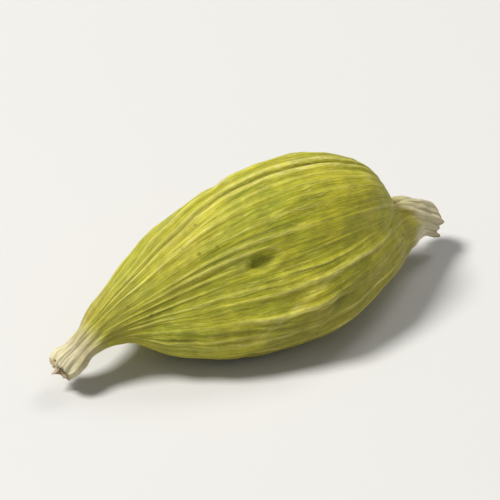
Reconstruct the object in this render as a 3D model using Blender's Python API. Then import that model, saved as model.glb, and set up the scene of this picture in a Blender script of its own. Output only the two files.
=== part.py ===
"""Green cardamom pod: a three-sided capsule with a stalk stub at one end and a short beak at the other."""

import math

import bmesh
import bpy
import numpy as np

# Lengths are in millimetres and angles in degrees. The mesh is written in metres.
MM = 0.001

# The pod lies along X. A station is a distance from the tip of the beak, and the stalk points to +X.
LENGTH = 20.0
HEIGHT_SHARE = 0.94

# Station and mean radius along the pod, from the little cup in the beak to the middle of the cut stalk.
OUTLINE = (
    (0.42, 0.00),
    (0.36, 0.22),
    (0.00, 0.52),
    (0.20, 0.68),
    (0.85, 0.59),
    (1.50, 0.63),
    (2.45, 0.98),
    (3.55, 1.62),
    (5.20, 2.61),
    (7.60, 3.53),
    (10.70, 4.03),
    (13.50, 3.79),
    (15.45, 2.90),
    (16.70, 1.72),
    (17.40, 1.04),
    (18.30, 0.80),
    (19.20, 0.76),
    (19.74, 0.68),
    (19.92, 0.42),
    (19.82, 0.00),
)

# Three rounded corners, counted from the top one over the front. They start and end as a round tube.
CORNER_ANGLE = 91.5
CORNER_HEIGHT = 0.11
WIDER_THAN_HIGH = 0.018
TWIST = -16.0
ROUND_RADIUS = 0.85
CORNERED_RADIUS = 2.3

# The sections lean, so the top of the shoulder overhangs the root of the stalk.
LEAN = 0.16
LEAN_ANGLE = 60.0

# The front corner runs out along the root of the stalk as a low buttress.
BUTTRESS_HEIGHT = 1.00
BUTTRESS_WIDTH = 34.0
BUTTRESS_STATION = 17.5
BUTTRESS_LENGTH = 1.25

# The middle line arches: both ends droop, the beak and the stalk a little more, and it sways sideways.
END_DROOP = 1.05
BEAK_DROOP = 0.90
BEAK_LENGTH = 3.6
STALK_DROOP = 1.35
STALK_LENGTH = 3.2
SIDE_SWAY = -0.30

# Seam along each corner: a fine groove between two thin ridges.
SEAM_RIDGE_ANGLE = 3.4
SEAM_RIDGE_WIDTH = 2.3
SEAM_RIDGE_HEIGHT = 0.17
SEAM_GROOVE_WIDTH = 1.7
SEAM_GROOVE_DEPTH = 0.13

# Lengthwise ribs of each side, front first: angle past its corner, and height. They sink and rise a little.
RIBS = (
    ((15.0, 0.09), (29.0, 0.07), (43.5, 0.07), (76.0, 0.08), (91.0, 0.10), (105.5, 0.08)),
    ((14.5, 0.08), (30.0, 0.06), (45.0, 0.07), (75.0, 0.07), (90.0, 0.07), (106.0, 0.09)),
    ((15.5, 0.09), (30.5, 0.11), (44.0, 0.08), (77.0, 0.10), (90.5, 0.07), (105.0, 0.10)),
)
RIB_WIDTH = 2.5
RIB_SWELL = 0.25
RIB_SWELL_LENGTH = 10.0
RIB_WANDER = 1.6
RIB_WANDER_LENGTH = 13.0
RIB_FULL_RADIUS = 3.2

# A soft furrow down the middle of each side.
FURROW_DEPTHS = (0.09, 0.04, 0.26)
FURROW_WIDTH = 11.0
FURROW_STATION = 11.8
FURROW_LENGTH = 4.6

# Seeds that show as soft swellings, in two rows beside each corner.
SEED_STATIONS = (5.6, 8.1, 10.7, 13.3, 15.6)
SEED_ROW_ANGLE = 24.0
SEED_ROW_OFFSET = 0.6
SEED_WIDTH = 9.0
SEED_LENGTH = 0.95
SEED_HEIGHT = 0.07
SEED_SCATTER = 0.35
SEED_RANDOM = 7

# One deeper dimple, near the middle of the front side.
DIMPLE_STATION = 9.3
DIMPLE_ANGLE = 52.0
DIMPLE_LENGTH = 0.85
DIMPLE_WIDTH = 7.5
DIMPLE_DEPTH = 0.22

# The pod lies on a small flat spot under its weight, on a slight swelling with the ribs pressed smooth.
REST_PITCH = -1.4
REST_ANGLE = 270.0
REST_STATION = 10.7
REST_SMOOTH_LENGTH = 3.2
REST_SMOOTH_WIDTH = 22.0
REST_SMOOTHING = 0.9
REST_SWELL = 0.09
REST_CUT = 0.05

# Rows are closer together where the pod is thin, and a column runs along every ridge and groove.
ROWS = 58
ROW_GAP_AT_TIPS = 0.30
ROW_GAP_PER_RADIUS = 0.16
WIDEST_COLUMN = 4.3
CREASE_ANGLE = 40.0

HUSK_COLOR = (0.305, 0.291, 0.038, 1.0)
HUSK_ROUGHNESS = 0.55


def spline(knots, values, at):
    """Natural cubic curve through the values at the knots."""
    steps = np.diff(knots)
    slopes = np.diff(values) / steps
    count = len(knots)
    matrix = np.eye(count)
    right = np.zeros(count)
    for i in range(1, count - 1):
        matrix[i, i - 1] = steps[i - 1]
        matrix[i, i] = 2.0 * (steps[i - 1] + steps[i])
        matrix[i, i + 1] = steps[i]
        right[i] = 6.0 * (slopes[i] - slopes[i - 1])
    bends = np.linalg.solve(matrix, right)
    cell = np.clip(np.searchsorted(knots, at) - 1, 0, count - 2)
    left = at - knots[cell]
    ahead = knots[cell + 1] - at
    step = steps[cell]
    curve = (bends[cell] * ahead**3 + bends[cell + 1] * left**3) / (6.0 * step)
    before = (values[cell] / step - bends[cell] * step / 6.0) * ahead
    after = (values[cell + 1] / step - bends[cell + 1] * step / 6.0) * left
    return curve + before + after


def smooth_step(low, high, value):
    share = np.clip((value - low) / (high - low), 0.0, 1.0)
    return share * share * (3.0 - 2.0 * share)


def bump(distance, width):
    """Smooth bump of height 1 that falls off over the width."""
    return np.exp(-((distance / width) ** 2))


def apart(angle, centre):
    """Signed difference of two angles, from -180 to 180."""
    return (angle - centre + 180.0) % 360.0 - 180.0


def outline_rows():
    """Stations and radii of the rows of the mesh."""
    points = np.array(OUTLINE)
    knots = np.concatenate([[0.0], np.cumsum(np.hypot(*np.diff(points, axis=0).T))])
    fine = np.linspace(0.0, knots[-1], 4000)
    station = spline(knots, points[:, 0], fine)
    radius = np.maximum(spline(knots, points[:, 1], fine), 0.0)
    pace = 1.0 / (ROW_GAP_AT_TIPS + ROW_GAP_PER_RADIUS * radius)
    travelled = np.concatenate([[0.0], np.cumsum(0.5 * (pace[1:] + pace[:-1]) * np.diff(fine))])
    at = np.interp(np.linspace(0.0, travelled[-1], ROWS), travelled, fine)
    return np.interp(at, fine, station), np.interp(at, fine, radius)


def column_angles():
    """Angles past the top corner: one on every ridge and groove, and enough between them."""
    marks = []
    for side, ribs in enumerate(RIBS):
        corner = 120.0 * side
        marks += [corner - SEAM_RIDGE_ANGLE, corner, corner + SEAM_RIDGE_ANGLE, corner + 60.0]
        marks += [corner + angle for angle, _ in ribs]
    marks = sorted(mark % 360.0 for mark in marks)
    marks.append(marks[0] + 360.0)
    columns = []
    for first, second in zip(marks[:-1], marks[1:]):
        pieces = math.ceil((second - first) / WIDEST_COLUMN)
        columns.extend(np.linspace(first, second, pieces, endpoint=False))
    return np.array(columns)


def seam_and_ribs(around, station, radius):
    """Height of the seams and ribs, which grow finer towards both ends."""
    height = 0.0
    for side, ribs in enumerate(RIBS):
        turn = apart(around, 120.0 * side)
        height = height + SEAM_RIDGE_HEIGHT * bump(np.abs(turn) - SEAM_RIDGE_ANGLE, SEAM_RIDGE_WIDTH)
        height = height - SEAM_GROOVE_DEPTH * bump(turn, SEAM_GROOVE_WIDTH)
        for number, (angle, rib_height) in enumerate(ribs):
            phase = 2.0 * math.pi * station / RIB_SWELL_LENGTH + 2.0 * number + 2.5 * side
            swell = 0.85 + RIB_SWELL * np.sin(phase)
            height = height + swell * rib_height * bump(apart(turn, angle), RIB_WIDTH)
    return height * np.clip(radius / RIB_FULL_RADIUS, 0.0, 1.0)


def furrows(around, station):
    """Depth of the furrow down the middle of each side."""
    along = bump(station - FURROW_STATION, FURROW_LENGTH)
    depth = 0.0
    for side, deepest in enumerate(FURROW_DEPTHS):
        depth = depth + deepest * bump(apart(around, 120.0 * side + 60.0), FURROW_WIDTH)
    return along * depth


def seed_swellings(around, station):
    """Height of the soft bumps that the seeds leave on both sides of each corner."""
    random = np.random.default_rng(SEED_RANDOM)
    height = 0.0
    for side in range(3):
        for hand in (-1.0, 1.0):
            across = bump(apart(around, 120.0 * side + hand * SEED_ROW_ANGLE), SEED_WIDTH)
            for place in SEED_STATIONS:
                middle = place + hand * SEED_ROW_OFFSET + SEED_SCATTER * random.standard_normal()
                share = random.uniform(0.6, 1.25)
                height = height + share * SEED_HEIGHT * across * bump(station - middle, SEED_LENGTH)
    return height


def relief(around, station, radius):
    """Height added to the smooth body, at an angle past the top corner."""
    body = smooth_step(ROUND_RADIUS, CORNERED_RADIUS, radius)
    soft = seed_swellings(around, station) - furrows(around, station)
    dimple = bump(apart(around, DIMPLE_ANGLE), DIMPLE_WIDTH) * bump(station - DIMPLE_STATION, DIMPLE_LENGTH)
    return seam_and_ribs(around, station, radius) + body * soft - DIMPLE_DEPTH * dimple


def middle_line(station):
    """Sideways and upward offset of the middle line."""
    share = 2.0 * station / LENGTH - 1.0
    beak = np.clip(1.0 - station / BEAK_LENGTH, 0.0, 1.0) ** 2
    stalk = np.clip((station - LENGTH + STALK_LENGTH) / STALK_LENGTH, 0.0, 1.0) ** 2
    up = -END_DROOP * share**2 - BEAK_DROOP * beak - STALK_DROOP * stalk
    return SIDE_SWAY * np.sin(math.pi * share), up


def pod_surface(around, station, radius):
    """Points of the skin for angles past the top corner and stations along the pod.

    The section is a circle with a cosine of three waves for its corners, plus the relief. It is set
    square to the middle line, leans by an amount that grows with its radius, and twists along the pod.
    """
    cornered = smooth_step(ROUND_RADIUS, CORNERED_RADIUS, radius)
    wander = np.sin(2.0 * math.pi * station / RIB_WANDER_LENGTH + np.radians(2.0 * around))
    turn = around + cornered * RIB_WANDER * wander
    angle = turn + CORNER_ANGLE + TWIST * (station / LENGTH - 0.5)

    corners = CORNER_HEIGHT * np.cos(np.radians(3.0 * turn))
    wider = WIDER_THAN_HIGH * np.cos(np.radians(2.0 * angle))
    pressed = bump(apart(angle, REST_ANGLE), REST_SMOOTH_WIDTH)
    pressed = pressed * bump(station - REST_STATION, REST_SMOOTH_LENGTH)
    buttress = bump(apart(turn, 120.0), BUTTRESS_WIDTH) * bump(station - BUTTRESS_STATION, BUTTRESS_LENGTH)
    reach = radius * (1.0 + cornered * (corners + wider)) + BUTTRESS_HEIGHT * buttress
    reach = reach + (1.0 - REST_SMOOTHING * pressed) * relief(around, station, radius)
    reach = reach + REST_SWELL * pressed
    reach = np.where(radius > 0.0, reach, 0.0)

    side = reach * np.cos(np.radians(angle))
    high = HEIGHT_SHARE * reach * np.sin(np.radians(angle))
    overhang = LEAN * cornered * radius * np.cos(np.radians(angle - LEAN_ANGLE))

    nearby = 0.001
    across, up = middle_line(station)
    next_across, next_up = middle_line(station + nearby)
    side_slope = np.arctan((next_across - across) / nearby)
    rise = np.arctan((next_up - up) / nearby)
    x = station + overhang - side * np.sin(side_slope) - high * np.sin(rise) - 0.5 * LENGTH
    y = across + side * np.cos(side_slope)
    z = up + high * np.cos(rise)

    pitch = math.radians(REST_PITCH)
    level_x = x * math.cos(pitch) + z * math.sin(pitch)
    level_z = z * math.cos(pitch) - x * math.sin(pitch)
    return np.stack(np.broadcast_arrays(level_x, y, level_z), axis=-1)


def pod_mesh():
    """Closed grid of quads with a fan at either end, as points and faces."""
    station, radius = outline_rows()
    around = column_angles()
    columns = len(around)
    grid = pod_surface(around[None, :], station[1:-1, None], radius[1:-1, None])
    ends = pod_surface(around[:1], station[[0, -1], None], np.zeros((2, 1)))
    points = np.vstack([grid.reshape(-1, 3), ends.reshape(-1, 3)])
    last_row = (ROWS - 3) * columns
    beak_end = (ROWS - 2) * columns
    stalk_end = beak_end + 1
    faces = []
    for column in range(columns):
        beside = (column + 1) % columns
        faces.append((beak_end, beside, column))
        faces.append((stalk_end, last_row + column, last_row + beside))
        for row in range(ROWS - 3):
            here = row * columns
            above = here + columns
            faces.append((here + column, here + beside, above + beside, above + column))
    return points, faces


def flatten_underside(shape):
    """Cuts a thin slice off the lowest place and closes it with a flat face."""
    floor = min(vertex.co.z for vertex in shape.verts) + REST_CUT * MM
    bmesh.ops.bisect_plane(
        shape,
        geom=shape.verts[:] + shape.edges[:] + shape.faces[:],
        plane_co=(0.0, 0.0, floor),
        plane_no=(0.0, 0.0, -1.0),
        clear_outer=True,
    )
    rim = [edge for edge in shape.edges if edge.is_boundary]
    spot = bmesh.ops.contextual_create(shape, geom=rim)["faces"]
    bmesh.ops.poke(shape, faces=spot)
    bmesh.ops.recalc_face_normals(shape, faces=shape.faces[:])


def set_down(shape):
    """Puts the middle of the pod's footprint at the origin, with the pod standing on z = 0."""
    corners = np.array([vertex.co[:] for vertex in shape.verts])
    low = corners.min(axis=0)
    high = corners.max(axis=0)
    shift = (-0.5 * (low[0] + high[0]), -0.5 * (low[1] + high[1]), -low[2])
    bmesh.ops.translate(shape, verts=shape.verts[:], vec=shift)


def build_pod():
    points, faces = pod_mesh()
    mesh = bpy.data.meshes.new("cardamom_pod")
    mesh.from_pydata((points * MM).tolist(), [], faces)
    shape = bmesh.new()
    shape.from_mesh(mesh)
    flatten_underside(shape)
    set_down(shape)
    shape.to_mesh(mesh)
    shape.free()
    mesh.shade_smooth()
    mesh.set_sharp_from_angle(angle=math.radians(CREASE_ANGLE))
    mesh.materials.append(husk_material())
    pod = bpy.data.objects.new("cardamom_pod", mesh)
    bpy.context.scene.collection.objects.link(pod)


def husk_material():
    material = bpy.data.materials.new("husk")
    material.use_nodes = True
    surface = material.node_tree.nodes["Principled BSDF"]
    surface.inputs["Base Color"].default_value = HUSK_COLOR
    surface.inputs["Roughness"].default_value = HUSK_ROUGHNESS
    return material


def main():
    for thing in list(bpy.data.objects):
        bpy.data.objects.remove(thing, do_unlink=True)
    build_pod()


main()
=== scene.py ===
"""Looks of a dried green cardamom pod, laid out as a Blender add-on and run as a script."""

import math

import bpy
import numpy as np
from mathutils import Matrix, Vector


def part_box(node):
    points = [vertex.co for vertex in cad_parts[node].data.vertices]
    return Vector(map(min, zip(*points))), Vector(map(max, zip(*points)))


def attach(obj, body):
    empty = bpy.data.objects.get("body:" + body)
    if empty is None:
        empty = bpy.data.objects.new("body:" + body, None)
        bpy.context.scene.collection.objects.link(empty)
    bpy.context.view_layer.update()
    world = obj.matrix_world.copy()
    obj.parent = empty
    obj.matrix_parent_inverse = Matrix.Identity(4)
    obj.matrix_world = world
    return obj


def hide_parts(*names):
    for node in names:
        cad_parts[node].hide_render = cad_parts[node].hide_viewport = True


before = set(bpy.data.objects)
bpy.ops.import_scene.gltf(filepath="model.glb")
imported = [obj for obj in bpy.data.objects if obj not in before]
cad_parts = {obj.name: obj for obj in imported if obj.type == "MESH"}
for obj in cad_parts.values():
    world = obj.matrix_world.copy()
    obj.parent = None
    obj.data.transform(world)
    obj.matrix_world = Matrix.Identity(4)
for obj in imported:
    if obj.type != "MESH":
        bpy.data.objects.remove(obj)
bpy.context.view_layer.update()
POD_BOX = np.array([list(corner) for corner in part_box("cardamom_pod")])

bl_info = {
    "name": "Green cardamom pod",
    "version": (1, 0, 0),
    "blender": (4, 5, 0),
    "location": "View3D > Sidebar > Cardamom",
    "description": "Builds a dried green cardamom pod on a pale floor",
    "category": "Add Mesh",
}

# Shape values are in millimetres and degrees, and meshes are written in metres.
MM = 0.001

# The pod lies along X. A station is a distance from the tip of the beak, and the stalk points to +X.
# Every section is a little lower than a round one.
LENGTH = 20.0
HEIGHT_SHARE = 0.94

# Station and mean radius along the pod, from the little cup in the beak to the middle of the cut stalk.
OUTLINE = (
    *((0.42, 0.00), (0.36, 0.22), (0.00, 0.52), (0.20, 0.68), (0.85, 0.59), (1.50, 0.63), (2.45, 0.98)),
    *((3.55, 1.62), (5.20, 2.61), (7.60, 3.53), (10.70, 4.03), (13.50, 3.79), (15.45, 2.90), (16.70, 1.72)),
    *((17.40, 1.04), (18.30, 0.80), (19.20, 0.76), (19.74, 0.68), (19.92, 0.42), (19.82, 0.00)),
)

# Three rounded corners, each a turn past the last, from the top one over the front. Both ends are round.
CORNER_ANGLE = 91.5
CORNER_TURN = 120.0
CORNER_HEIGHT = 0.11
WIDER_THAN_HIGH = 0.018
TWIST = -16.0
ROUND_RADIUS = 0.85
CORNERED_RADIUS = 2.3

# The sections lean, so the top of the shoulder overhangs the root of the stalk.
LEAN = 0.16
LEAN_ANGLE = 60.0

# The front corner runs out along the root of the stalk as a low buttress.
BUTTRESS_HEIGHT = 1.10
BUTTRESS_WIDTH = 34.0
BUTTRESS_STATION = 17.5
BUTTRESS_LENGTH = 1.42

# The middle line arches: both ends droop, the beak and the stalk a little more, and it sways sideways.
END_DROOP = 1.05
BEAK_DROOP = 0.90
BEAK_LENGTH = 3.6
STALK_DROOP = 1.35
STALK_LENGTH = 3.2
SIDE_SWAY = -0.30

# A low keel sharpens each corner, the front one most.
KEEL_HEIGHTS = (0.04, 0.17, 0.08)
KEEL_WIDTH = 8.5

# Painted shade: a darker strip under the front corner, partly the underside's own duller olive,
# with a painted highlight along a paler line above it. The strip starts and ends at angles past the corner,
# and climbs between two stations.
DULL_SHADE_START = 5.0
DULL_SHADE_END = 66.0
DULL_SHADE_WANDER = 3.0
DULL_SHADE_CLIMB = 42.0
DULL_SHADE_CLIMB_STATIONS = (5.0, 13.5)
DULL_SHADE_STATION = 11.5
DULL_SHADE_LENGTH = 7.0
PAINTED_CORNER_HIGHLIGHT = 0.75

# Seam along each corner: a fine groove between two thin ridges.
SEAM_RIDGE_ANGLE = 3.4
SEAM_RIDGE_WIDTH = 2.1
SEAM_GROOVE_WIDTH = 1.5

# Lengthwise ribs of each side, front first: angle past its corner, and height.
RIBS = (
    ((15.0, 0.09), (29.0, 0.07), (43.5, 0.07), (76.0, 0.08), (91.0, 0.10), (105.5, 0.08)),
    ((14.5, 0.08), (30.0, 0.06), (45.0, 0.07), (75.0, 0.07), (90.0, 0.07), (106.0, 0.09)),
    ((15.5, 0.09), (30.5, 0.11), (44.0, 0.08), (77.0, 0.10), (90.5, 0.07), (105.0, 0.10)),
)
RIB_WIDTH = 2.5
CREST_WIDTH = 1.3
TALLEST_RIDGE = 0.18
RIB_SWELL = 0.25
RIB_SWELL_LENGTH = 10.0
RIB_WANDER = 1.6
RIB_WANDER_LENGTH = 13.0
RIB_DRIFT = 1.1
RIB_FULL_RADIUS = 3.2
FINE_RIB_FULL_RADIUS = 2.4

# A soft furrow down the middle of each side.
FURROW_DEPTHS = (0.09, 0.04, 0.26)
FURROW_WIDTH = 11.0
FURROW_STATION = 11.8
FURROW_LENGTH = 4.6

# Seeds that show as soft swellings, in two rows beside each corner.
SEED_STATIONS = (5.6, 8.1, 10.7, 13.3, 15.6)
SEED_ROW_ANGLE = 24.0
SEED_ROW_OFFSET = 0.6
SEED_WIDTH = 9.0
SEED_LENGTH = 0.95
SEED_HEIGHT = 0.07
SEED_SCATTER = 0.35
SEED_RANDOM = 7

# One deeper dimple, near the middle of the front side.
DIMPLE_STATION = 9.3
DIMPLE_ANGLE = 52.0
DIMPLE_LENGTH = 0.85
DIMPLE_WIDTH = 7.5
DIMPLE_DEPTH = 0.22
LIP_HEIGHT = 0.03

# Small pimples and pits: station, angle, reach, and height or, below zero, depth.
SPOTS = (
    (6.1, 1.0, 0.70, -0.06),
    (8.5, -29.0, 0.32, -0.13),
    (9.1, -14.0, 0.42, 0.11),
    (11.9, 22.0, 0.35, 0.06),
    (12.6, 96.0, 0.30, -0.09),
    (15.1, 16.0, 0.60, 0.08),
    (4.9, 150.0, 0.35, 0.07),
    (10.2, 205.0, 0.40, -0.10),
    (13.8, 262.0, 0.45, 0.08),
    (7.3, 300.0, 0.30, -0.09),
)

# A notch on top where the shoulder meets the root of the stalk.
NOTCH_DEPTH = 0.42
NOTCH_STATION = 17.45
NOTCH_LENGTH = 0.38
NOTCH_ANGLE = -28.0
NOTCH_WIDTH = 80.0

# The pod lies on a small flat spot under its weight, on a slight swelling with the ribs pressed smooth.
REST_PITCH = -1.4
REST_ANGLE = 270.0
REST_STATION = 10.7
REST_SMOOTH_LENGTH = 3.2
REST_SMOOTH_WIDTH = 22.0
REST_SMOOTHING = 0.9
REST_SWELL = 0.09
REST_CUT = 0.05

# The thin beak and stalk have pleats and knobs instead of ribs, fully below the first radius.
THIN_RADII = (0.75, 1.6)
PLEATS_ROUND = (6.0, 11.0)
PLEAT_WANDER = 17.0

# Stations between which the straw of both ends fades, and the blush beyond it.
BEAK_STRAW = (0.8, 2.2)
STALK_STRAW = (17.4, 18.5)
BEAK_BLUSH = (1.5, 5.0)
STALK_BLUSH = (15.4, 17.6)

# The torn brown of the cup and the cut end fades between two radii. The cup is a share of the outline.
CUP_SHARE = 0.035
CUP_DEPTH = 0.45
CUP_RADII = (0.62, 0.40)
CUT_STATION = 19.78
CUT_RADII = (0.70, 0.50)

# Withered tube in the beak's cup: share of the way from root to rim, and radius. The profile goes out along
# the outer wall, over the rim and back inside.
TUBE_PROFILE = (
    *((0.0, 0.00), (0.0, 0.30), (0.25, 0.33), (0.50, 0.34), (0.72, 0.36), (0.90, 0.39), (1.00, 0.40)),
    *((1.00, 0.36), (0.88, 0.33), (0.65, 0.28), (0.40, 0.22), (0.30, 0.10), (0.30, 0.00)),
)
WITHERED_PALE = (0.60, 0.50, 0.33)
WITHERED_DARK = (0.30, 0.215, 0.115)
TUBE_ROOT = 0.62
TUBE_RIM = -0.16
TUBE_COLUMNS = 80
TUBE_ROWS = 49

# Broken fibres at the cut end of the stalk. Each range is drawn from evenly.
FIBRES = 26
FIBRE_DARK = (0.25, 0.175, 0.075)
FIBRE_ROOT = 19.55
FIBRE_SUNK = 0.25
FIBRE_SPREAD = 0.60
FIBRE_LENGTHS = (0.10, 0.34)
FIBRE_RADII = (0.045, 0.085)
FIBRE_LEANS = (-0.15, 0.55)
FIBRE_SWINGS = (-25.0, 25.0)

# Grid of the fine skin.
SKIN_COLUMNS = 384
SKIN_ROWS = 252

# Lamps: name, turn from the camera, elevation, distance and size in metres, watts and colour.
LAMPS = (
    ("key_lamp", -84.0, 58.0, 0.55, 0.17, 3.7, (1.0, 0.985, 0.96)),
    ("back_lamp", 140.0, 52.0, 0.60, 0.24, 0.8, (1.0, 0.99, 0.97)),
    ("front_lamp", 15.0, 40.0, 0.70, 0.40, 0.20, (0.97, 0.98, 1.0)),
)


def rgb(name, description, default):
    """Colour setting in linear values."""
    return bpy.props.FloatVectorProperty(
        name=name, description=description, subtype="COLOR", size=3, min=0.0, max=1.0, default=default
    )


def decimal(name, description, default, **settings):
    """Setting that is a number with decimals."""
    return bpy.props.FloatProperty(name=name, description=description, default=default, **settings)


def whole(name, description, default):
    """Setting that is a whole number."""
    return bpy.props.IntProperty(name=name, description=description, default=default)


class HuskShape(bpy.types.PropertyGroup):
    """Relief of the husk, with heights and depths in millimetres."""

    seam_ridge: decimal("Seam ridge", "Height of the two thin ridges of each seam", 0.12)
    seam_groove: decimal("Seam groove", "Depth of the groove between the two ridges", 0.08)
    fine_ribs: whole("Fine ribs", "Number of fine ribs round the husk, besides the main ones", 96)
    fine_rib_height: decimal("Fine rib height", "Height of the tallest fine ribs", 0.085)
    wrinkles: decimal("Wrinkles", "Height of the small wrinkles across the husk", 0.026)
    dents: decimal("Dents", "Height of the broad uneven dents of the dry husk", 0.13)
    creases: decimal("Creases", "Depth of the thin creases where the husk has shrunk", 0.07)
    pleats: decimal("Pleats", "Height of the pleats of the beak and the stalk", 0.07)
    knobs: decimal("Knobs", "Height of the knobs of the beak and the stalk", 0.07)
    random: whole("Random seed", "Start of every random draw except that of the seeds", 11)


class HuskColours(bpy.types.PropertyGroup):
    """Colours of the husk, the stalk and the beak."""

    green: rgb("Green", "Green of the fresher parts of the husk", (0.310, 0.330, 0.016))
    yellow: rgb("Yellow", "Yellow of the riper parts of the husk", (0.480, 0.435, 0.026))
    # This pale is the ribs' own, and also paints highlights on the pimples, the dimple's lip and the line
    # along the front corner.
    rib: rgb("Rib", "Pale crest of the ribs", (0.640, 0.590, 0.120))
    # This brown paints the shade in the valleys, the seam grooves and the pits, and is also the own brown of
    # the dark hairs and specks.
    groove: rgb("Groove", "Brown in the grooves and pits", (0.135, 0.120, 0.006))
    # Painted shade: the dark green of the dimple's pit stands for the shade in that hollow.
    pit: rgb("Pit", "Dark green of the dimple", (0.165, 0.180, 0.006))
    straw: rgb("Straw", "Pale straw of the stalk and the beak", (0.790, 0.715, 0.485))
    # Painted shade: this darker, duller olive shades the strip under the front corner, partly the
    # underside's own duller colour.
    dull_shade: rgb("Dull", "Duller olive of the strip under the front corner", (0.175, 0.150, 0.018))
    blush: rgb("Blush", "Brownish blush towards both ends", (0.400, 0.290, 0.085))
    # Besides the torn and cut ends, this brown also paints the shade in the notch at the root of the stalk.
    cut: rgb("Cut", "Brown of the torn and cut ends", (0.200, 0.130, 0.055))


class StudioSettings(bpy.types.PropertyGroup):
    """Floor, camera and light."""

    floor: rgb("Floor", "Colour of the floor", (0.62, 0.615, 0.60))
    azimuth: decimal("Azimuth", "Camera's turn round the pod, in degrees", -33.0)
    elevation: decimal("Elevation", "Camera's height above the horizon, in degrees", 37.0)
    lens: decimal("Lens", "Focal length", 500.0, unit="CAMERA")
    view_width: decimal("View width", "Width of the view at the pod", 0.0225, unit="LENGTH", precision=4)
    lamps: decimal("Lamps", "Strength of the lamps, as a share of the usual", 1.0)
    surrounding: decimal("Surrounding", "Strength of the even light from all sides", 0.23)


def smooth_step(low, high, value):
    """Share from 0 at the low value to 1 at the high one, eased at both by a cubic."""
    share = np.clip((value - low) / (high - low), 0.0, 1.0)
    return share * share * (3.0 - 2.0 * share)


def bump(distance, width):
    """Smooth bump of height 1 that falls off over the width."""
    return np.exp(-((distance / width) ** 2))


def apart(angle, centre):
    """Signed difference of two angles, from -180 to 180."""
    return (angle - centre + 180.0) % 360.0 - 180.0


def noise(around, station, cells_around, cells_per_mm, seed):
    """Smooth noise from -1 to 1 that closes round the pod.

    Random values stand at the corners of a lattice, and are blended by smooth steps in both directions.
    """
    random = np.random.default_rng(seed)
    rows = int(LENGTH * cells_per_mm) + 6
    lattice = random.uniform(-1.0, 1.0, (rows, cells_around))
    across = (around / 360.0 * cells_around) % cells_around
    along = np.clip(station * cells_per_mm + 2.0, 0.0, rows - 1.001)
    column = np.floor(across).astype(int) % cells_around
    row = np.floor(along).astype(int)
    beside = (column + 1) % cells_around
    across = smooth_step(0.0, 1.0, across - np.floor(across))
    along = smooth_step(0.0, 1.0, along - np.floor(along))
    low = lattice[row, column] * (1.0 - across) + lattice[row, beside] * across
    high = lattice[row + 1, column] * (1.0 - across) + lattice[row + 1, beside] * across
    return low * (1.0 - along) + high * along


def spline(knots, values, at):
    """Natural cubic curve through the values at the knots."""
    steps = np.diff(knots)
    slopes = np.diff(values) / steps
    count = len(knots)
    matrix = np.eye(count)
    right = np.zeros(count)
    for i in range(1, count - 1):
        matrix[i, i - 1] = steps[i - 1]
        matrix[i, i] = 2.0 * (steps[i - 1] + steps[i])
        matrix[i, i + 1] = steps[i]
        right[i] = 6.0 * (slopes[i] - slopes[i - 1])
    bends = np.linalg.solve(matrix, right)
    cell = np.clip(np.searchsorted(knots, at) - 1, 0, count - 2)
    left = at - knots[cell]
    ahead = knots[cell + 1] - at
    step = steps[cell]
    curve = (bends[cell] * ahead**3 + bends[cell + 1] * left**3) / (6.0 * step)
    before = (values[cell] / step - bends[cell] * step / 6.0) * ahead
    after = (values[cell + 1] / step - bends[cell + 1] * step / 6.0) * left
    return curve + before + after


def outline_rows(rows):
    """Stations, radii and shares of the outline's length of the rows, which lie closer where it is thin."""
    points = np.array(OUTLINE)
    knots = np.concatenate([[0.0], np.cumsum(np.hypot(*np.diff(points, axis=0).T))])
    fine = np.linspace(0.0, knots[-1], 6000)
    station = spline(knots, points[:, 0], fine)
    radius = np.maximum(spline(knots, points[:, 1], fine), 0.0)
    pace = 1.0 / (0.45 + 0.14 * radius)
    travelled = np.concatenate([[0.0], np.cumsum(0.5 * (pace[1:] + pace[:-1]) * np.diff(fine))])
    at = np.interp(np.linspace(0.0, travelled[-1], rows), travelled, fine)
    return np.interp(at, fine, station), np.interp(at, fine, radius), at / knots[-1]


def middle_line(station):
    """Sideways and upward offset of the middle line."""
    share = 2.0 * station / LENGTH - 1.0
    beak = np.clip(1.0 - station / BEAK_LENGTH, 0.0, 1.0) ** 2
    stalk = np.clip((station - LENGTH + STALK_LENGTH) / STALK_LENGTH, 0.0, 1.0) ** 2
    up = -END_DROOP * share**2 - BEAK_DROOP * beak - STALK_DROOP * stalk
    return SIDE_SWAY * np.sin(math.pi * share), up


def set_on_middle_line(angle, station, reach, overhang=0.0):
    """Points at a reach from the middle line, square to it, with the whole pod pitched a little."""
    side = reach * np.cos(np.radians(angle))
    high = HEIGHT_SHARE * reach * np.sin(np.radians(angle))
    nearby = 0.001
    across, up = middle_line(station)
    next_across, next_up = middle_line(station + nearby)
    side_slope = np.arctan((next_across - across) / nearby)
    rise = np.arctan((next_up - up) / nearby)
    x = station + overhang - side * np.sin(side_slope) - high * np.sin(rise) - 0.5 * LENGTH
    y = across + side * np.cos(side_slope)
    z = up + high * np.cos(rise)
    pitch = math.radians(REST_PITCH)
    level_x = x * math.cos(pitch) + z * math.sin(pitch)
    level_z = z * math.cos(pitch) - x * math.sin(pitch)
    return np.stack(np.broadcast_arrays(level_x, y, level_z), axis=-1)


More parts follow.
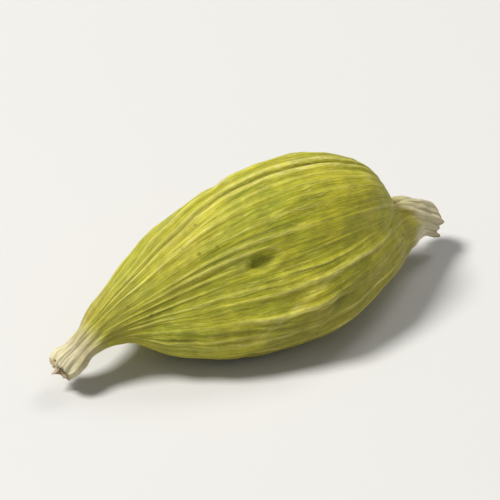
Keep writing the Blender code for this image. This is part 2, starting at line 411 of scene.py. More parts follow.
def seams_and_ribs(around, station, shape):
    """Height of the keels, seams and main ribs, and the shares of their crests and of the seams' grooves.

    Each is a bump across its own angle. Its height rises and sinks along the pod by a sine and by noise.
    """
    uneven = 1.0 + 0.55 * noise(around, station, 24, 0.30, shape.random + 20)
    height = 0.0
    groove = 0.0
    crest = 0.0
    for side, ribs in enumerate(RIBS):
        turn = apart(around, CORNER_TURN * side)
        height = height + KEEL_HEIGHTS[side] * bump(turn, KEEL_WIDTH)
        ridge = bump(np.abs(turn) - SEAM_RIDGE_ANGLE, SEAM_RIDGE_WIDTH)
        seam = bump(turn, SEAM_GROOVE_WIDTH)
        height = height + uneven * shape.seam_ridge * ridge - uneven * shape.seam_groove * seam
        groove = np.maximum(groove, seam * uneven)
        crest = np.maximum(crest, 0.8 * ridge * uneven)
        for number, (angle, rib_height) in enumerate(ribs):
            phase = 2.0 * math.pi * station / RIB_SWELL_LENGTH + 2.0 * number + 2.5 * side
            swell = 0.85 + RIB_SWELL * np.sin(phase)
            rib = bump(apart(turn, angle), RIB_WIDTH)
            height = height + uneven * swell * rib_height * rib
            crest = np.maximum(crest, bump(apart(turn, angle), CREST_WIDTH) * uneven * swell)
    return height, groove, crest


def fine_ribs(around, station, shape):
    """Height of many fine ribs, from 0 to about 1.

    Each is a narrow bump across the pod at its own angle, which wanders by a slow sine. It shows along
    a stretch of its own. Its width, height and stretch are random, and most of them are low.
    """
    random = np.random.default_rng(shape.random)
    height = 0.0
    for number in range(shape.fine_ribs):
        angle = 360.0 * (number + random.uniform(0.0, 1.0)) / shape.fine_ribs
        width = random.uniform(0.8, 1.7)
        tall = 0.18 + 0.82 * random.uniform(0.0, 1.0) ** 1.8
        middle = random.uniform(3.0, 17.0)
        stretch = random.uniform(2.5, 8.5)
        bend = random.uniform(0.4, 1.8)
        wave = random.uniform(5.0, 12.0)
        phase = random.uniform(0.0, 2.0 * math.pi)
        wander = bend * np.sin(2.0 * math.pi * station / wave + phase)
        height = height + tall * bump(apart(around, angle + wander), width) * bump(station - middle, stretch)
    return height


def soft_relief(around, station):
    """Swellings over the seeds less the furrow down the middle of each side."""
    random = np.random.default_rng(SEED_RANDOM)
    height = 0.0
    for side in range(3):
        for hand in (-1.0, 1.0):
            across = bump(apart(around, CORNER_TURN * side + hand * SEED_ROW_ANGLE), SEED_WIDTH)
            for place in SEED_STATIONS:
                middle = place + hand * SEED_ROW_OFFSET + SEED_SCATTER * random.standard_normal()
                share = random.uniform(0.6, 1.25)
                height = height + share * SEED_HEIGHT * across * bump(station - middle, SEED_LENGTH)
    along = bump(station - FURROW_STATION, FURROW_LENGTH)
    for side, deepest in enumerate(FURROW_DEPTHS):
        height = height - along * deepest * bump(apart(around, CORNER_TURN * (side + 0.5)), FURROW_WIDTH)
    return height


def shrinkage(around, station, shape):
    """Height of dents, less the depth of thin creases.

    The dents are two sizes of noise. A crease runs where a third noise is near zero.
    """
    seed = shape.random
    dents = noise(around, station, 10, 0.40, seed + 1) + 0.5 * noise(around, station, 24, 0.95, seed + 2)
    crease = (1.0 - np.abs(noise(around, station, 15, 0.33, seed + 3))) ** 10
    where = smooth_step(-0.2, 0.5, noise(around, station, 7, 0.30, seed + 4))
    return shape.dents * dents - shape.creases * crease * where


def wrinkles(around, station, shape):
    """Height of small wrinkles, which lie across the pod, and of the grain between them."""
    seed = shape.random
    across = noise(around, station, 34, 2.1, seed + 5) + 0.6 * noise(around, station, 64, 3.6, seed + 6)
    where = 0.35 + 0.65 * smooth_step(-0.3, 0.5, noise(around, station, 9, 0.5, seed + 7))
    return shape.wrinkles * across * where


def small_spots(around, station, radius):
    """Height of the pimples less the depth of the pits, each a round bump by its distance on the skin."""
    height = 0.0
    for place, angle, reach, tall in SPOTS:
        away = np.hypot(station - place, np.radians(apart(around, angle)) * radius)
        height = height + tall * bump(away, reach)
    return height


def root_notch(around, station):
    """Depth of the notch between the shoulder and the root of the stalk, deepest on top."""
    along = NOTCH_DEPTH * bump(station - NOTCH_STATION, NOTCH_LENGTH)
    return along * bump(apart(around, NOTCH_ANGLE), NOTCH_WIDTH)


def pleats_and_knobs(around, station, radius, shape):
    """Height of the lengthwise pleats of the thin ends, and of their knobs.

    The pleats are two cosines round the pod, at angles moved by noise. The knobs are two sizes of noise.
    """
    thin = 1.0 - smooth_step(*THIN_RADII, radius)
    loose = around + PLEAT_WANDER * noise(around, station, 6, 0.8, shape.random + 9)
    broad, narrow = PLEATS_ROUND
    uneven = 0.7 + 0.5 * noise(around, station, 5, 0.9, shape.random + 17)
    pleats = np.cos(np.radians(broad * loose)) * uneven
    pleats = pleats + 0.6 * np.cos(np.radians(narrow * loose + 50.0))
    knobs = noise(around, station, 6, 1.3, shape.random + 18)
    knobs = knobs + 0.7 * noise(around, station, 11, 2.6, shape.random + 19)
    pleats = shape.pleats * thin * pleats * np.clip(radius / 0.6, 0.0, 1.0)
    return pleats, shape.knobs * thin * knobs * np.clip(radius / 0.5, 0.0, 1.0) ** 2


def dimple_shares(around, station, shape):
    """Shares of the dimple's soft bowl, of the uneven pit inside it and of the lip round the pit."""
    bowl = bump(apart(around, DIMPLE_ANGLE), DIMPLE_WIDTH) * bump(station - DIMPLE_STATION, DIMPLE_LENGTH)
    uneven = bowl * (1.0 + 0.28 * noise(around, station, 44, 2.2, shape.random + 21))
    return bowl, smooth_step(0.40, 0.78, uneven), bump(uneven - 0.27, 0.11)


def pod_relief(around, station, radius, shape):
    """Whole relief of the skin, and the shares of its hollows, crests, veins and pit, and its ridges.

    The ridges are held below the tallest one by a hyperbolic tangent.
    """
    body = smooth_step(ROUND_RADIUS, CORNERED_RADIUS, radius)
    grown = np.clip(radius / RIB_FULL_RADIUS, 0.0, 1.0)
    drift = RIB_DRIFT * noise(around, station, 13, 0.5, shape.random + 8)
    main, groove, crest = seams_and_ribs(around + drift, station, shape)
    vein = fine_ribs(around + drift, station, shape)
    fine = shape.fine_rib_height * vein
    soft = soft_relief(around, station) + shrinkage(around, station, shape)
    pleats, knobs = pleats_and_knobs(around, station, radius, shape)
    lengthwise = main * grown + fine * np.clip(radius / FINE_RIB_FULL_RADIUS, 0.0, 1.0)
    lengthwise = TALLEST_RIDGE * np.tanh(lengthwise / TALLEST_RIDGE) + pleats
    across = wrinkles(around, station, shape) * np.clip(radius / 2.0, 0.25, 1.0)
    height = lengthwise + body * soft + across + knobs
    bowl, pit, lip = dimple_shares(around, station, shape)
    height = height - DIMPLE_DEPTH * (0.6 * bowl + 0.75 * pit) + LIP_HEIGHT * lip
    height = height - root_notch(around, station)
    spots = small_spots(around, station, radius)
    marks = {
        # Painted shade: the hollow share darkens the seam grooves and the pits of the spots.
        "hollow": 0.7 * groove * grown + np.clip(-8.0 * spots, 0.0, 1.0),
        # Painted highlight: the crest share of the pimples and of the dimple's lip; that of the seams and
        # ribs is their own paler colour.
        "crest": np.maximum(np.maximum(crest, 0.6 * lip), np.clip(8.0 * spots, 0.0, 1.0)),
        "vein": vein,
        "pit": pit,
        "ridges": lengthwise,
    }
    return height + spots, marks


def lifted(height):
    """How far each place stands above the average of its neighbours, one to three places away."""
    smooth = height
    for reach in (1, 2, 3):
        smooth = 0.5 * smooth + 0.25 * (np.roll(smooth, reach, axis=1) + np.roll(smooth, -reach, axis=1))
        edged = np.pad(smooth, ((reach, reach), (0, 0)), mode="edge")
        smooth = 0.5 * smooth + 0.25 * (edged[2 * reach :] + edged[: -2 * reach])
    return height - smooth


def pod_surface(around, station, radius, shape):
    """Points of the skin, and the marks of its relief.

    The section is a circle with a cosine of three waves for its corners, plus the relief. It is set
    square to the middle line, leans by an amount that grows with its radius, and twists along the pod.
    """
    cornered = smooth_step(ROUND_RADIUS, CORNERED_RADIUS, radius)
    wander = np.sin(2.0 * math.pi * station / RIB_WANDER_LENGTH + np.radians(2.0 * around))
    turn = around + cornered * RIB_WANDER * wander
    angle = turn + CORNER_ANGLE + TWIST * (station / LENGTH - 0.5)

    corners = CORNER_HEIGHT * np.cos(np.radians(3.0 * turn))
    wider = WIDER_THAN_HIGH * np.cos(np.radians(2.0 * angle))
    pressed = bump(apart(angle, REST_ANGLE), REST_SMOOTH_WIDTH)
    pressed = pressed * bump(station - REST_STATION, REST_SMOOTH_LENGTH)
    buttress = bump(apart(turn, CORNER_TURN), BUTTRESS_WIDTH)
    buttress = buttress * bump(station - BUTTRESS_STATION, BUTTRESS_LENGTH)

    relief, marks = pod_relief(around, station, radius, shape)
    reach = radius * (1.0 + cornered * (corners + wider)) + BUTTRESS_HEIGHT * buttress
    reach = reach + (1.0 - REST_SMOOTHING * pressed) * relief + REST_SWELL * pressed
    reach = np.where(radius > 0.0, reach, 0.0)
    overhang = LEAN * cornered * radius * np.cos(np.radians(angle - LEAN_ANGLE))
    points = set_on_middle_line(angle, station, reach, overhang)
    return points, marks


def ragged_ends(station, radius, around, shape):
    """Stations with an uneven lip at the beak and an uneven break at the stalk."""
    lip = smooth_step(0.55, 0.0, station) * smooth_step(0.25, 0.5, radius)
    end = smooth_step(19.3, 19.85, station)
    uneven = noise(around, 4.0, 13, 1.0, shape.random + 10)
    uneven = uneven + 0.6 * noise(around, 9.0, 31, 1.0, shape.random + 11)
    torn = noise(around, 2.0 + 3.0 * radius, 11, 1.0, shape.random + 12)
    torn = torn + 0.6 * noise(around, 2.0 + 6.0 * radius, 26, 1.0, shape.random + 13)
    slant = np.cos(np.radians(around - 100.0)) * radius
    rim = bump(radius - 0.60, 0.16)
    broken = 0.12 * torn * np.clip(radius / 0.2, 0.0, 1.0) + 0.16 * slant + 0.16 * rim - 0.10
    return station + 0.10 * lip * uneven + end * broken


def straw_and_blush(around, station, shape):
    """Shares of the dry straw of both ends, and of the blush that leads up to it."""
    uneven = station + 0.6 * noise(around, station, 16, 0.8, shape.random + 14)
    straw = np.maximum(1.0 - smooth_step(*BEAK_STRAW, station), smooth_step(*STALK_STRAW, uneven))
    blush = np.maximum(1.0 - smooth_step(*BEAK_BLUSH, station), smooth_step(*STALK_BLUSH, station))
    return straw, blush * (0.6 + 0.6 * noise(around, station, 12, 0.45, shape.random + 16))


def dull_shade_strip(around, station, shape):
    """Shares of the painted shade in the strip under the front corner, partly a duller olive of its own, and
    of the painted highlight on the paler line above it.
    """
    below = apart(around, CORNER_TURN) + DULL_SHADE_CLIMB * smooth_step(*DULL_SHADE_CLIMB_STATIONS, station)
    below = below + DULL_SHADE_WANDER * noise(around, station, 11, 0.6, shape.random + 23)
    along = bump(station - DULL_SHADE_STATION, DULL_SHADE_LENGTH)
    dull_shade = smooth_step(DULL_SHADE_START, 2.6 * DULL_SHADE_START, below) * smooth_step(DULL_SHADE_END, 0.7 * DULL_SHADE_END, below)
    dull_shade = dull_shade * along * (0.85 + 0.3 * noise(around, station, 9, 0.5, shape.random + 22))
    return dull_shade, PAINTED_CORNER_HIGHLIGHT * bump(below, 0.9 * DULL_SHADE_START) * along


def torn_brown_and_notch_shade(around, station, radius, outline_share, shape):
    """Share of the torn brown of the cup and the cut end, and of the painted shade in the notch."""
    # Painted shade: the notch between the shoulder and the stalk darkened by its depth.
    notch_shade = root_notch(around, station) / NOTCH_DEPTH
    notch_shade = notch_shade * (0.75 + 0.25 * noise(around, station, 9, 1.0, shape.random + 15))
    in_cup = (outline_share < CUP_SHARE) & (station < CUP_DEPTH)
    cut = np.where(in_cup, smooth_step(*CUP_RADII, radius), 0.0)
    cut = np.maximum(cut, np.where(station > CUT_STATION, smooth_step(*CUT_RADII, radius), 0.0))
    return 0.7 * cut + 0.6 * notch_shade


def skin_grid(shape):
    """Fine skin in millimetres, and the fields that its finish needs at every vertex."""
    station, radius, outline_share = outline_rows(SKIN_ROWS)
    around = np.arange(SKIN_COLUMNS) * 360.0 / SKIN_COLUMNS
    around, station = np.meshgrid(around, station)
    radius = radius[:, None] * np.ones_like(around)
    moved = ragged_ends(station, radius, around, shape)
    points, marks = pod_surface(around, moved, radius, shape)

    straw, blush = straw_and_blush(around, station, shape)
    # Painted shade in the strip under the front corner, and a painted highlight on the line above it, which
    # joins the crests.
    dull_shade, line = dull_shade_strip(around, station, shape)
    # The torn share holds the torn and cut brown and the painted shade in the notch.
    torn = torn_brown_and_notch_shade(around, station, radius, outline_share[:, None], shape)
    # The raised field darkens the valleys, and the hollow and pit fields the grooves, pits and dimple, as
    # painted shade.
    fields = {
        "raised": 0.5 + lifted(marks["ridges"]) / 0.08,
        "crest": np.maximum(marks["crest"], line),
        "dull_shade": dull_shade,
        "hollow": marks["hollow"],
        "pit": marks["pit"],
        "vein": marks["vein"],
        "straw": straw,
        "blush": blush,
        "cut": torn,
    }
    fields = {label: np.clip(share, 0.0, 1.0) for label, share in fields.items()}
    turn = np.radians(around)
    fields["grain"] = np.stack([np.cos(turn), np.sin(turn), station / LENGTH], axis=-1)
    return points, fields


def into_place(points):
    """Shift that centres the skin's box on the plain solid's, with its underside a cut below the floor."""
    low = points.reshape(-1, 3).min(axis=0)
    high = points.reshape(-1, 3).max(axis=0)
    box = POD_BOX / MM
    shift = 0.5 * (box[0] + box[1] - low - high)
    shift[2] = box[0][2] - low[2] - REST_CUT
    return shift


def per_vertex(grid):
    """Values of a grid in the order of its mesh's vertices: the first point, the rings, the last point."""
    return np.concatenate([grid[0, :1], grid[1:-1].reshape(-1, *grid.shape[2:]), grid[-1, :1]])


def closed_mesh(name, points, fields=None):
    """Closed mesh from a grid whose columns run round and whose first and last rows are single points.

    The points are in millimetres. The UV map runs from 0 to 1 round the columns and along the rows.
    Each named field becomes a number or a vector on every vertex.
    """
    rows, columns = points.shape[:2]
    ring = np.arange((rows - 2) * columns).reshape(rows - 2, columns) + 1
    end = (rows - 2) * columns + 1
    beside = np.roll(ring, -1, axis=1)
    quads = np.stack([ring[:-1], beside[:-1], beside[1:], ring[1:]], axis=-1).reshape(-1, 4)
    first = np.stack([np.zeros(columns, int), beside[0], ring[0]], axis=-1)
    last = np.stack([np.full(columns, end), ring[-1], beside[-1]], axis=-1)
    corners = np.concatenate([first.ravel(), quads.ravel(), last.ravel()])
    sizes = np.concatenate([np.full(columns, 3), np.full(len(quads), 4), np.full(columns, 3)])
    places = per_vertex(points) * MM

    mesh = bpy.data.meshes.new(name)
    mesh.vertices.add(len(places))
    mesh.vertices.foreach_set("co", places.astype(np.float32).ravel())
    mesh.loops.add(len(corners))
    mesh.loops.foreach_set("vertex_index", corners.astype(np.int32))
    mesh.polygons.add(len(sizes))
    starts = np.concatenate([[0], np.cumsum(sizes)[:-1]])
    mesh.polygons.foreach_set("loop_start", starts.astype(np.int32))
    mesh.update(calc_edges=True)

    step = 1.0 / columns
    u = np.arange(columns) * step
    v = np.linspace(0.0, 1.0, rows)
    u_quads = np.broadcast_to(np.stack([u, u + step, u + step, u], axis=-1), (rows - 3, columns, 4))
    v_quads = np.stack([v[1:-2], v[1:-2], v[2:-1], v[2:-1]], axis=-1)
    v_quads = np.broadcast_to(v_quads[:, None, :], (rows - 3, columns, 4))
    u_first = np.stack([u + 0.5 * step, u + step, u], axis=-1)
    u_last = np.stack([u + 0.5 * step, u, u + step], axis=-1)
    v_first = np.tile([v[0], v[1], v[1]], columns)
    v_last = np.tile([v[-1], v[-2], v[-2]], columns)
    flat_u = np.concatenate([u_first.ravel(), u_quads.ravel(), u_last.ravel()])
    flat_v = np.concatenate([v_first, v_quads.ravel(), v_last])
    layer = mesh.uv_layers.new(name="UVMap")
    layer.data.foreach_set("uv", np.stack([flat_u, flat_v], axis=-1).astype(np.float32).ravel())

    for label, field in (fields or {}).items():
        kind, part = ("FLOAT", "value") if field.ndim == 2 else ("FLOAT_VECTOR", "vector")
        attribute = mesh.attributes.new(label, kind, "POINT")
        attribute.data.foreach_set(part, per_vertex(field).astype(np.float32).ravel())
    mesh.shade_smooth()
    return mesh


def new_object(name, data):
    """Adds an object to the scene."""
    thing = bpy.data.objects.new(name, data)
    bpy.context.scene.collection.objects.link(thing)
    return thing


def place_piece(name, mesh, material):
    """Puts a finished mesh in the scene with its finish, riding on the pod's one body."""
    piece = new_object(name, mesh)
    mesh.materials.append(material)
    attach(piece, "root")
    return piece


class NodeBench:
    """Short ways to add shader nodes to one material. Each gives the new node's output."""

    def __init__(self, name):
        self.material = bpy.data.materials.new(name)
        self.material.use_nodes = True
        self.tree = self.material.node_tree
        self.surface = self.tree.nodes["Principled BSDF"]

    def fill(self, node, inputs):
        """Gives a node's inputs a number, a vector, a colour or another node's output each."""
        for label, value in inputs.items():
            socket = node.inputs[label]
            if isinstance(value, bpy.types.NodeSocket):
                self.tree.links.new(value, socket)
            elif socket.type == "RGBA":
                socket.default_value = (*value, 1.0)
            else:
                socket.default_value = value

    def add(self, kind, inputs, output, **settings):
        """Output of a new node with its inputs and settings."""
        node = self.tree.nodes.new(kind)
        for label, value in settings.items():
            setattr(node, label, value)
        self.fill(node, inputs)
        return node.outputs[output]

    def number(self, operation, first, second=0.0, clamp=False):
        """Result of a sum on two numbers."""
        return self.add("ShaderNodeMath", {0: first, 1: second}, 0, operation=operation, use_clamp=clamp)

    def ramp(self, value, low, high, low_out=0.0, high_out=1.0):
        """Number carried from one range to another, and held at its ends."""
        ranges = {"Value": value, "From Min": low, "From Max": high, "To Min": low_out, "To Max": high_out}
        return self.add("ShaderNodeMapRange", ranges, "Result", interpolation_type="SMOOTHSTEP")

    def mix(self, share, first, second, blend="MIX"):
        """Two colours mixed by a share."""
        inputs = {0: share, 6: first, 7: second}
        return self.add("ShaderNodeMix", inputs, 2, data_type="RGBA", blend_type=blend)

    def share(self, label, output="Fac"):
        """What every vertex carries under a label."""
        return self.add("ShaderNodeAttribute", {}, output, attribute_name=label)

    def on_object(self):
        """Coordinates in metres."""
        return self.add("ShaderNodeTexCoord", {}, "Object")

    def noise(self, vector, scale, detail=3.0, roughness=0.5, distortion=0.0, output="Fac"):
        """Smooth noise."""
        inputs = {"Vector": vector, "Scale": scale, "Detail": detail, "Roughness": roughness}
        return self.add("ShaderNodeTexNoise", {**inputs, "Distortion": distortion}, output)

    def drawn_out(self, vector, scale):
        """Coordinates drawn out by a scale along each axis."""
        return self.add("ShaderNodeMapping", {"Vector": vector, "Scale": scale}, "Vector")

    def stirred(self, vector, scale, reach):
        """Coordinates pushed about by a noise, by up to half the reach each way."""
        cloud = self.noise(vector, scale, 2.0, output="Color")
        inputs = {0: cloud, 1: (reach, reach, reach), 2: vector}
        return self.add("ShaderNodeVectorMath", inputs, 0, operation="MULTIPLY_ADD")

    def spots(self, vector, scale, small, large):
        """Round spots, 1 at their middles."""
        inputs = {"Vector": vector, "Scale": scale}
        distance = self.add("ShaderNodeTexVoronoi", inputs, "Distance", feature="F1")
        return self.ramp(distance, small, large, 1.0, 0.0)

    def streaks(self, grain, stretch, scale, detail, roughness):
        """Noise drawn out along the pod."""
        return self.noise(self.drawn_out(grain, (1.0, 1.0, stretch)), scale, detail, roughness)

    def hairlines(self, grain, stretch, scale, level, width):
        """Thin lines along the pod, 1 where drawn-out noise is at a level."""
        away = self.number("SUBTRACT", self.streaks(grain, stretch, scale, 2.0, 0.5), level)
        return self.ramp(self.number("ABSOLUTE", away), 0.0, width, 1.0, 0.0)

    def tinted(self, colour, tint, share, strength, clamp=False):
        """Colour mixed towards a tint, by a share times a strength."""
        return self.mix(self.number("MULTIPLY", share, strength, clamp), colour, tint)

    def shaded(self, colour, value, low, high, dark, bright):
        """Colour made darker where a value is low, and brighter where it is high."""
        level = self.ramp(value, low, high, dark, bright)
        grey = self.add("ShaderNodeCombineColor", {0: level, 1: level, 2: level}, "Color")
        return self.mix(1.0, colour, grey, "MULTIPLY")

    def bump(self, height, strength, distance, before=None):
        """Shading of fine relief, on top of what an earlier one gave."""
        inputs = {"Height": height, "Strength": strength, "Distance": distance}
        if before is not None:
            inputs["Normal"] = before
        return self.add("ShaderNodeBump", inputs, "Normal")


def husk_ground(bench, at, grain, colours):
    """Green and yellow patches, yellow streaks along the pod, and the blush towards both ends."""
    patches = bench.ramp(bench.noise(at, 190.0, 4.0, 0.55, 0.4), 0.34, 0.66)
    colour = bench.mix(patches, colours.green, colours.yellow)
    streaks = bench.ramp(bench.streaks(grain, 1.6, 9.0, 3.0, 0.55), 0.42, 0.62, 0.0, 0.45)
    colour = bench.mix(streaks, colour, colours.yellow)
    return bench.tinted(colour, colours.blush, bench.share("blush"), 0.45)


def husk_ridges(bench, colour, grain, colours):
    """Pale ribs and veins with painted shade in brown between them, the painted shade of the strip under the
    front corner, and crests scuffed to straw.
    """
    rib = colours.rib
    raised = bench.share("raised")
    colour = bench.mix(bench.ramp(raised, 0.50, 0.95, 0.0, 0.45), colour, rib)
    # Painted shade: places lower than their neighbours darkened towards the groove brown.
    colour = bench.mix(bench.ramp(raised, 0.42, 0.04, 0.0, 0.55), colour, colours.groove)
    colour = bench.mix(bench.ramp(bench.share("vein"), 0.30, 0.75, 0.0, 0.40), colour, rib)
    # Painted shade: the strip under the front corner darkened towards the duller olive.
    colour = bench.tinted(colour, colours.dull_shade, bench.share("dull_shade"), 0.62)
    # The crest share is the ribs' and seams' own paler colour, and a painted highlight on the pimples, the
    # dimple's lip and the line along the front corner.
    crest = bench.ramp(bench.share("crest"), 0.30, 0.95)
    colour = bench.tinted(colour, rib, crest, 0.52)
    scuffs = bench.ramp(bench.streaks(grain, 0.8, 60.0, 3.0, 0.6), 0.54, 0.66)
    return bench.tinted(colour, colours.straw, bench.number("MULTIPLY", crest, scuffs), 0.5)


def husk_marks(bench, colour, at, fibres, colours):
    """Painted shade in the brown hollows and the dark pit of the dimple, and a few small specks."""
    # Painted shade: grooves and pits darkened towards brown, and the dimple's pit towards dark green.
    colour = bench.tinted(colour, colours.groove, bench.share("hollow"), 0.50, True)
    shown = bench.ramp(fibres, 0.35, 0.65, 0.85, 0.45)
    colour = bench.tinted(colour, colours.pit, bench.share("pit"), shown)
    few = bench.ramp(bench.noise(at, 260.0, 2.0), 0.53, 0.63)
    specks = bench.spots(bench.stirred(at, 1100.0, 0.0004), 1400.0, 0.06, 0.17)
    return bench.tinted(colour, colours.groove, bench.number("MULTIPLY", specks, few), 0.7)


def husk_ends(bench, colour, at, grain, fibres, colours):
    """Dry straw with brown stains and strands at both ends, the brown of what is torn or cut, and the
    painted shade in the notch.
    """
    straw = bench.share("straw")
    colour = bench.tinted(colour, colours.straw, straw, bench.ramp(fibres, 0.25, 0.75, 0.66, 1.0))
    stains = bench.noise(bench.stirred(at, 900.0, 0.0006), 620.0, 4.0, 0.6)
    colour = bench.tinted(colour, colours.blush, bench.ramp(stains, 0.52, 0.72, 0.0, 0.38), straw)
    strands = bench.ramp(bench.streaks(grain, 1.2, 11.0, 3.0, 0.6), 0.54, 0.70, 0.0, 0.28)
    colour = bench.tinted(colour, colours.cut, strands, straw)
    # The cut field mixes in the torn and cut brown and the painted shade in the notch.
    return bench.mix(bench.share("cut"), colour, colours.cut)


def husk_finish(bench, at, fibres, threads):
    """Uneven gloss, fine relief of fibres, threads and grain, and a little light inside the skin."""
    normal = bench.bump(fibres, 0.9, 0.00005)
    normal = bench.bump(threads, 0.6, 0.00003, normal)
    normal = bench.bump(bench.noise(at, 4800.0, 3.0, 0.6), 0.35, 0.00003, normal)
    return {
        "Roughness": bench.ramp(bench.noise(at, 900.0, 3.0), 0.3, 0.7, 0.42, 0.64),
        "Normal": normal,
        "Specular IOR Level": 0.34,
        "Subsurface Weight": 0.04,
        "Subsurface Radius": (0.9, 0.7, 0.2),
        "Subsurface Scale": 0.0003,
    }


def husk_material(colours):
    """Dry papery husk, coloured in layers: patches, ridges, pale threads and dark hairs, marks and ends,
    with painted shade and painted highlights among the ridges and marks.
    """
    bench = NodeBench("dry_husk")
    at = bench.on_object()
    grain = bench.share("grain", "Vector")
    threads = bench.hairlines(grain, 0.40, 17.0, 0.5, 0.026)
    hairs = bench.hairlines(grain, 0.30, 26.0, 0.46, 0.020)
    fibres = bench.streaks(grain, 0.35, 42.0, 4.0, 0.65)

    colour = husk_ground(bench, at, grain, colours)
    colour = husk_ridges(bench, colour, grain, colours)
    colour = bench.tinted(colour, colours.rib, threads, 0.42)
    colour = bench.tinted(colour, colours.groove, hairs, 0.38)
    colour = bench.shaded(colour, fibres, 0.30, 0.70, 0.80, 1.20)
    colour = bench.shaded(colour, bench.noise(at, 1500.0, 4.0, 0.65), 0.32, 0.68, 0.86, 1.12)
    colour = husk_marks(bench, colour, at, fibres, colours)
    colour = husk_ends(bench, colour, at, grain, fibres, colours)
    bench.fill(bench.surface, {"Base Color": colour, **husk_finish(bench, at, fibres, threads)})
    return bench.material


def straw_material(name, pale, dark, share):
    """Dry straw fibre, paler and browner in streaks."""
    bench = NodeBench(name)
    streaks = bench.noise(bench.drawn_out(bench.on_object(), (0.3, 1.0, 1.0)), 4200.0, 3.0)
    streaks = bench.ramp(streaks, 0.5 - share, 0.5 + share)
    colour = bench.mix(streaks, dark, pale)
    normal = bench.bump(streaks, 0.4, 0.00003)
    bench.fill(bench.surface, {"Base Color": colour, "Roughness": 0.72, "Normal": normal})
    return bench.material


def withered_tube(shape):
    """Withered tube that stands in the beak's cup.

    The rim's station is noise round the tube. The wall is folded by two cosines and pinched by a third,
    and all three grow towards the rim.
    """
    around = np.arange(TUBE_COLUMNS)[None, :] * 360.0 / TUBE_COLUMNS
    fine = np.linspace(0.0, len(TUBE_PROFILE) - 1.0, TUBE_ROWS)
    share, radius = (np.interp(fine, np.arange(len(row)), row)[:, None] for row in zip(*TUBE_PROFILE))
    rim = TUBE_RIM + 0.20 * noise(around, 3.0, 9, 1.0, shape.random + 30)
    rim = rim + 0.10 * noise(around, 6.0, 21, 1.0, shape.random + 31)
    station = TUBE_ROOT + share * (rim - TUBE_ROOT)
    folds = 0.20 * np.cos(np.radians(5.0 * around + 40.0)) + 0.10 * np.cos(np.radians(11.0 * around))
    folds = 1.0 + share * folds
    pinch = 1.0 - 0.35 * share * np.cos(np.radians(2.0 * around + 70.0))
    return set_on_middle_line(around, station, radius * folds * pinch)


def broken_fibres(shape):
    """Short broken fibres at the cut end of the stalk, as a list of grids.

    Each is a thin tube along a bent line. Its radius shrinks a little, and closes at its blunt free end.
    """
    random = np.random.default_rng(shape.random + 40)
    around = np.arange(8)[None, :] * 45.0
    share = np.linspace(0.0, 1.0, 9)[:, None]
    fibres = []
    for _ in range(FIBRES):
        place = random.uniform(0.0, 360.0)
        out = FIBRE_SPREAD * math.sqrt(random.uniform(0.05, 1.0))
        long = random.uniform(*FIBRE_LENGTHS)
        thick = random.uniform(*FIBRE_RADII)
        lean = random.uniform(*FIBRE_LEANS)
        swing = random.uniform(*FIBRE_SWINGS)
        station = FIBRE_ROOT + (long + FIBRE_SUNK) * share
        reach = out + lean * share**2 * long
        core = set_on_middle_line(place + swing * share**2, station, reach)
        radius = thick * np.sqrt(np.clip(1.0 - share**4, 0.0, 1.0)) * (1.0 - 0.35 * share)
        radius[0] = 0.0
        side = np.stack([0.0 * around, np.cos(np.radians(around)), np.sin(np.radians(around))], axis=-1)
        fibres.append(core + radius[..., None] * side)
    return fibres


def joined_mesh(name, grids):
    """One mesh from many closed grids."""
    joined = bpy.data.meshes.new(name)
    places, faces = [], []
    count = 0
    for grid in grids:
        part = closed_mesh(name + "_part", grid)
        coordinates = np.empty(len(part.vertices) * 3, np.float32)
        part.vertices.foreach_get("co", coordinates)
        places.append(coordinates.reshape(-1, 3))
        faces += [[count + index for index in face.vertices] for face in part.polygons]
        count += len(part.vertices)
        bpy.data.meshes.remove(part)
    joined.from_pydata(np.concatenate(places).tolist(), [], faces)
    joined.shade_smooth()
    return joined


class CARDAMOM_OT_husk(bpy.types.Operator):
    """Adds the fine ribbed skin of the whole pod in place of the plain solid"""

    bl_idname = "cardamom.husk"
    bl_label = "Husk"

    def execute(self, context):
        shape = context.scene.cardamom_shape
        points, fields = skin_grid(shape)
        points = points + into_place(points)
        points[..., 2] = np.maximum(points[..., 2], POD_BOX[0][2] / MM)
        mesh = closed_mesh("husk", points, fields)
        husk = place_piece("husk", mesh, husk_material(context.scene.cardamom_colours))
        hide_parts("cardamom_pod")
        return {"FINISHED"}


class CARDAMOM_OT_ends(bpy.types.Operator):
    """Adds the withered tube in the beak and the broken fibres of the stalk"""

    bl_idname = "cardamom.ends"
    bl_label = "Withered tube and stalk fibres"

    def execute(self, context):
        shape = context.scene.cardamom_shape
        colours = context.scene.cardamom_colours
        shift = into_place(skin_grid(shape)[0])
        brown = straw_material("withered_brown", WITHERED_PALE, WITHERED_DARK, 0.25)
        tube = closed_mesh("withered_tube", withered_tube(shape)[::-1] + shift)
        place_piece("withered_tube", tube, brown)
        pale = straw_material("straw_fibre", colours.straw, FIBRE_DARK, 0.25)
        fibres = joined_mesh("stalk_fibres", [grid + shift for grid in broken_fibres(shape)])
        place_piece("stalk_fibres", fibres, pale)
        return {"FINISHED"}


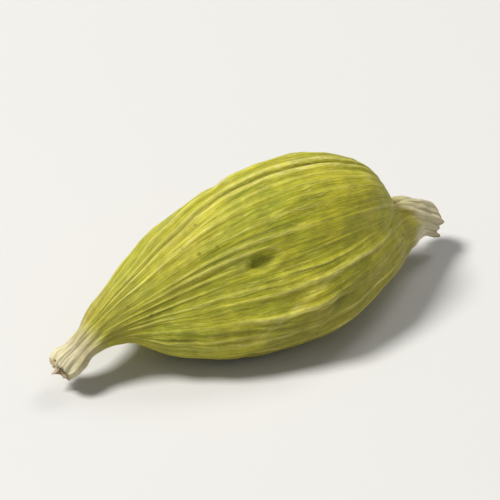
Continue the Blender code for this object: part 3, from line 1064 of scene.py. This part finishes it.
class CARDAMOM_OT_stage(bpy.types.Operator):
    """Adds the pale floor, the soft lamps and the camera"""

    bl_idname = "cardamom.stage"
    bl_label = "Floor, lamps and camera"

    def execute(self, context):
        studio = context.scene.cardamom_studio
        self.add_floor(studio)
        self.add_lamps(context, studio)
        self.add_camera(context, studio)
        context.scene.view_settings.view_transform = "Standard"
        return {"FINISHED"}

    def add_floor(self, studio):
        """Floor sheet that curves up behind the pod: a flat run, a quarter circle, and an upright run."""
        reach, rise = 1.2, 0.5
        across = np.linspace(-reach, reach, 9)
        bend = np.linspace(0.0, 0.5 * math.pi, 24)
        depth = np.concatenate([[-reach], 0.5 * reach + rise * np.sin(bend), [0.5 * reach + rise]])
        height = np.concatenate([[0.0], rise * (1.0 - np.cos(bend)), [3.0 * rise]])
        x, y = np.meshgrid(across, depth)
        z = np.meshgrid(across, height)[1]
        turn = math.radians(studio.azimuth)
        turned = (x * math.cos(turn) - y * math.sin(turn), x * math.sin(turn) + y * math.cos(turn), z)
        places = np.stack(turned, axis=-1).reshape(-1, 3)
        index = np.arange(len(places)).reshape(x.shape)
        faces = np.stack([index[:-1, :-1], index[:-1, 1:], index[1:, 1:], index[1:, :-1]], axis=-1)
        mesh = bpy.data.meshes.new("floor")
        mesh.from_pydata(places.tolist(), [], faces.reshape(-1, 4).tolist())
        mesh.shade_smooth()
        bench = NodeBench("plain_floor")
        shade = [0.98 * level for level in studio.floor]
        tone = bench.mix(bench.noise(bench.on_object(), 40.0, 2.0), studio.floor, shade)
        bench.fill(bench.surface, {"Base Color": tone, "Roughness": 0.85})
        mesh.materials.append(bench.material)
        floor = new_object("floor", mesh)

    def add_lamps(self, context, studio):
        """Bright lamp high on the left, weaker ones behind and in front, and an even pale surrounding."""
        for name, turn, elevation, distance, size, watts, tint in LAMPS:
            data = bpy.data.lights.new(name, "AREA")
            data.shape = "DISK"
            data.size = size
            data.energy = watts * studio.lamps
            data.color = tint
            self.aim(new_object(name, data), studio.azimuth + turn, elevation, distance)
        world = bpy.data.worlds.new("surrounding")
        world.use_nodes = True
        sky = world.node_tree.nodes["Background"]
        sky.inputs["Color"].default_value = (1.0, 1.0, 1.0, 1.0)
        sky.inputs["Strength"].default_value = studio.surrounding
        context.scene.world = world

    def aim(self, thing, azimuth, elevation, distance):
        """Places a lamp or a camera round the middle of the pod, and turns it to face the middle.

        Azimuth 0 is in front, and elevation is the angle above the horizon.
        """
        turn = math.radians(azimuth)
        height = math.radians(elevation)
        flat = math.cos(height)
        away = Vector((math.sin(turn) * flat, -math.cos(turn) * flat, math.sin(height)))
        thing.location = Vector(POD_BOX.mean(axis=0)) + distance * away
        thing.rotation_euler = away.to_track_quat("Z", "Y").to_euler()

    def add_camera(self, context, studio):
        """Long-lens camera at the photograph's viewing angle, close enough for the pod to fill the view."""
        data = bpy.data.cameras.new("camera")
        data.lens = studio.lens
        distance = studio.view_width * data.lens / data.sensor_width
        data.clip_start = 0.05 * distance
        data.clip_end = 100.0
        camera = new_object("camera", data)
        self.aim(camera, studio.azimuth, studio.elevation, distance)
        context.scene.camera = camera


class CARDAMOM_PT_panel(bpy.types.Panel):
    """Panel that lists the pod's pieces and settings"""

    bl_label = "Cardamom pod"
    bl_idname = "CARDAMOM_PT_panel"
    bl_space_type = "VIEW_3D"
    bl_region_type = "UI"
    bl_category = "Cardamom"

    def draw(self, context):
        for operator in OPERATORS:
            self.layout.operator(operator.bl_idname)
        for place in GROUPS:
            group = getattr(context.scene, place)
            column = self.layout.column(align=True)
            for label in group.__annotations__:
                column.prop(group, label)


GROUPS = {"cardamom_shape": HuskShape, "cardamom_colours": HuskColours, "cardamom_studio": StudioSettings}
OPERATORS = (CARDAMOM_OT_husk, CARDAMOM_OT_ends, CARDAMOM_OT_stage)
CLASSES = (*GROUPS.values(), *OPERATORS, CARDAMOM_PT_panel)


def register():
    for item in CLASSES:
        bpy.utils.register_class(item)
    for place, group in GROUPS.items():
        setattr(bpy.types.Scene, place, bpy.props.PointerProperty(type=group))


def unregister():
    for place in GROUPS:
        delattr(bpy.types.Scene, place)
    for item in reversed(CLASSES):
        bpy.utils.unregister_class(item)


def main():
    """Builds the dressed pod and its stage."""
    register()
    bpy.ops.cardamom.husk()
    bpy.ops.cardamom.ends()
    bpy.ops.cardamom.stage()
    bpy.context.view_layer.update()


if __name__ == "__main__":
    main()
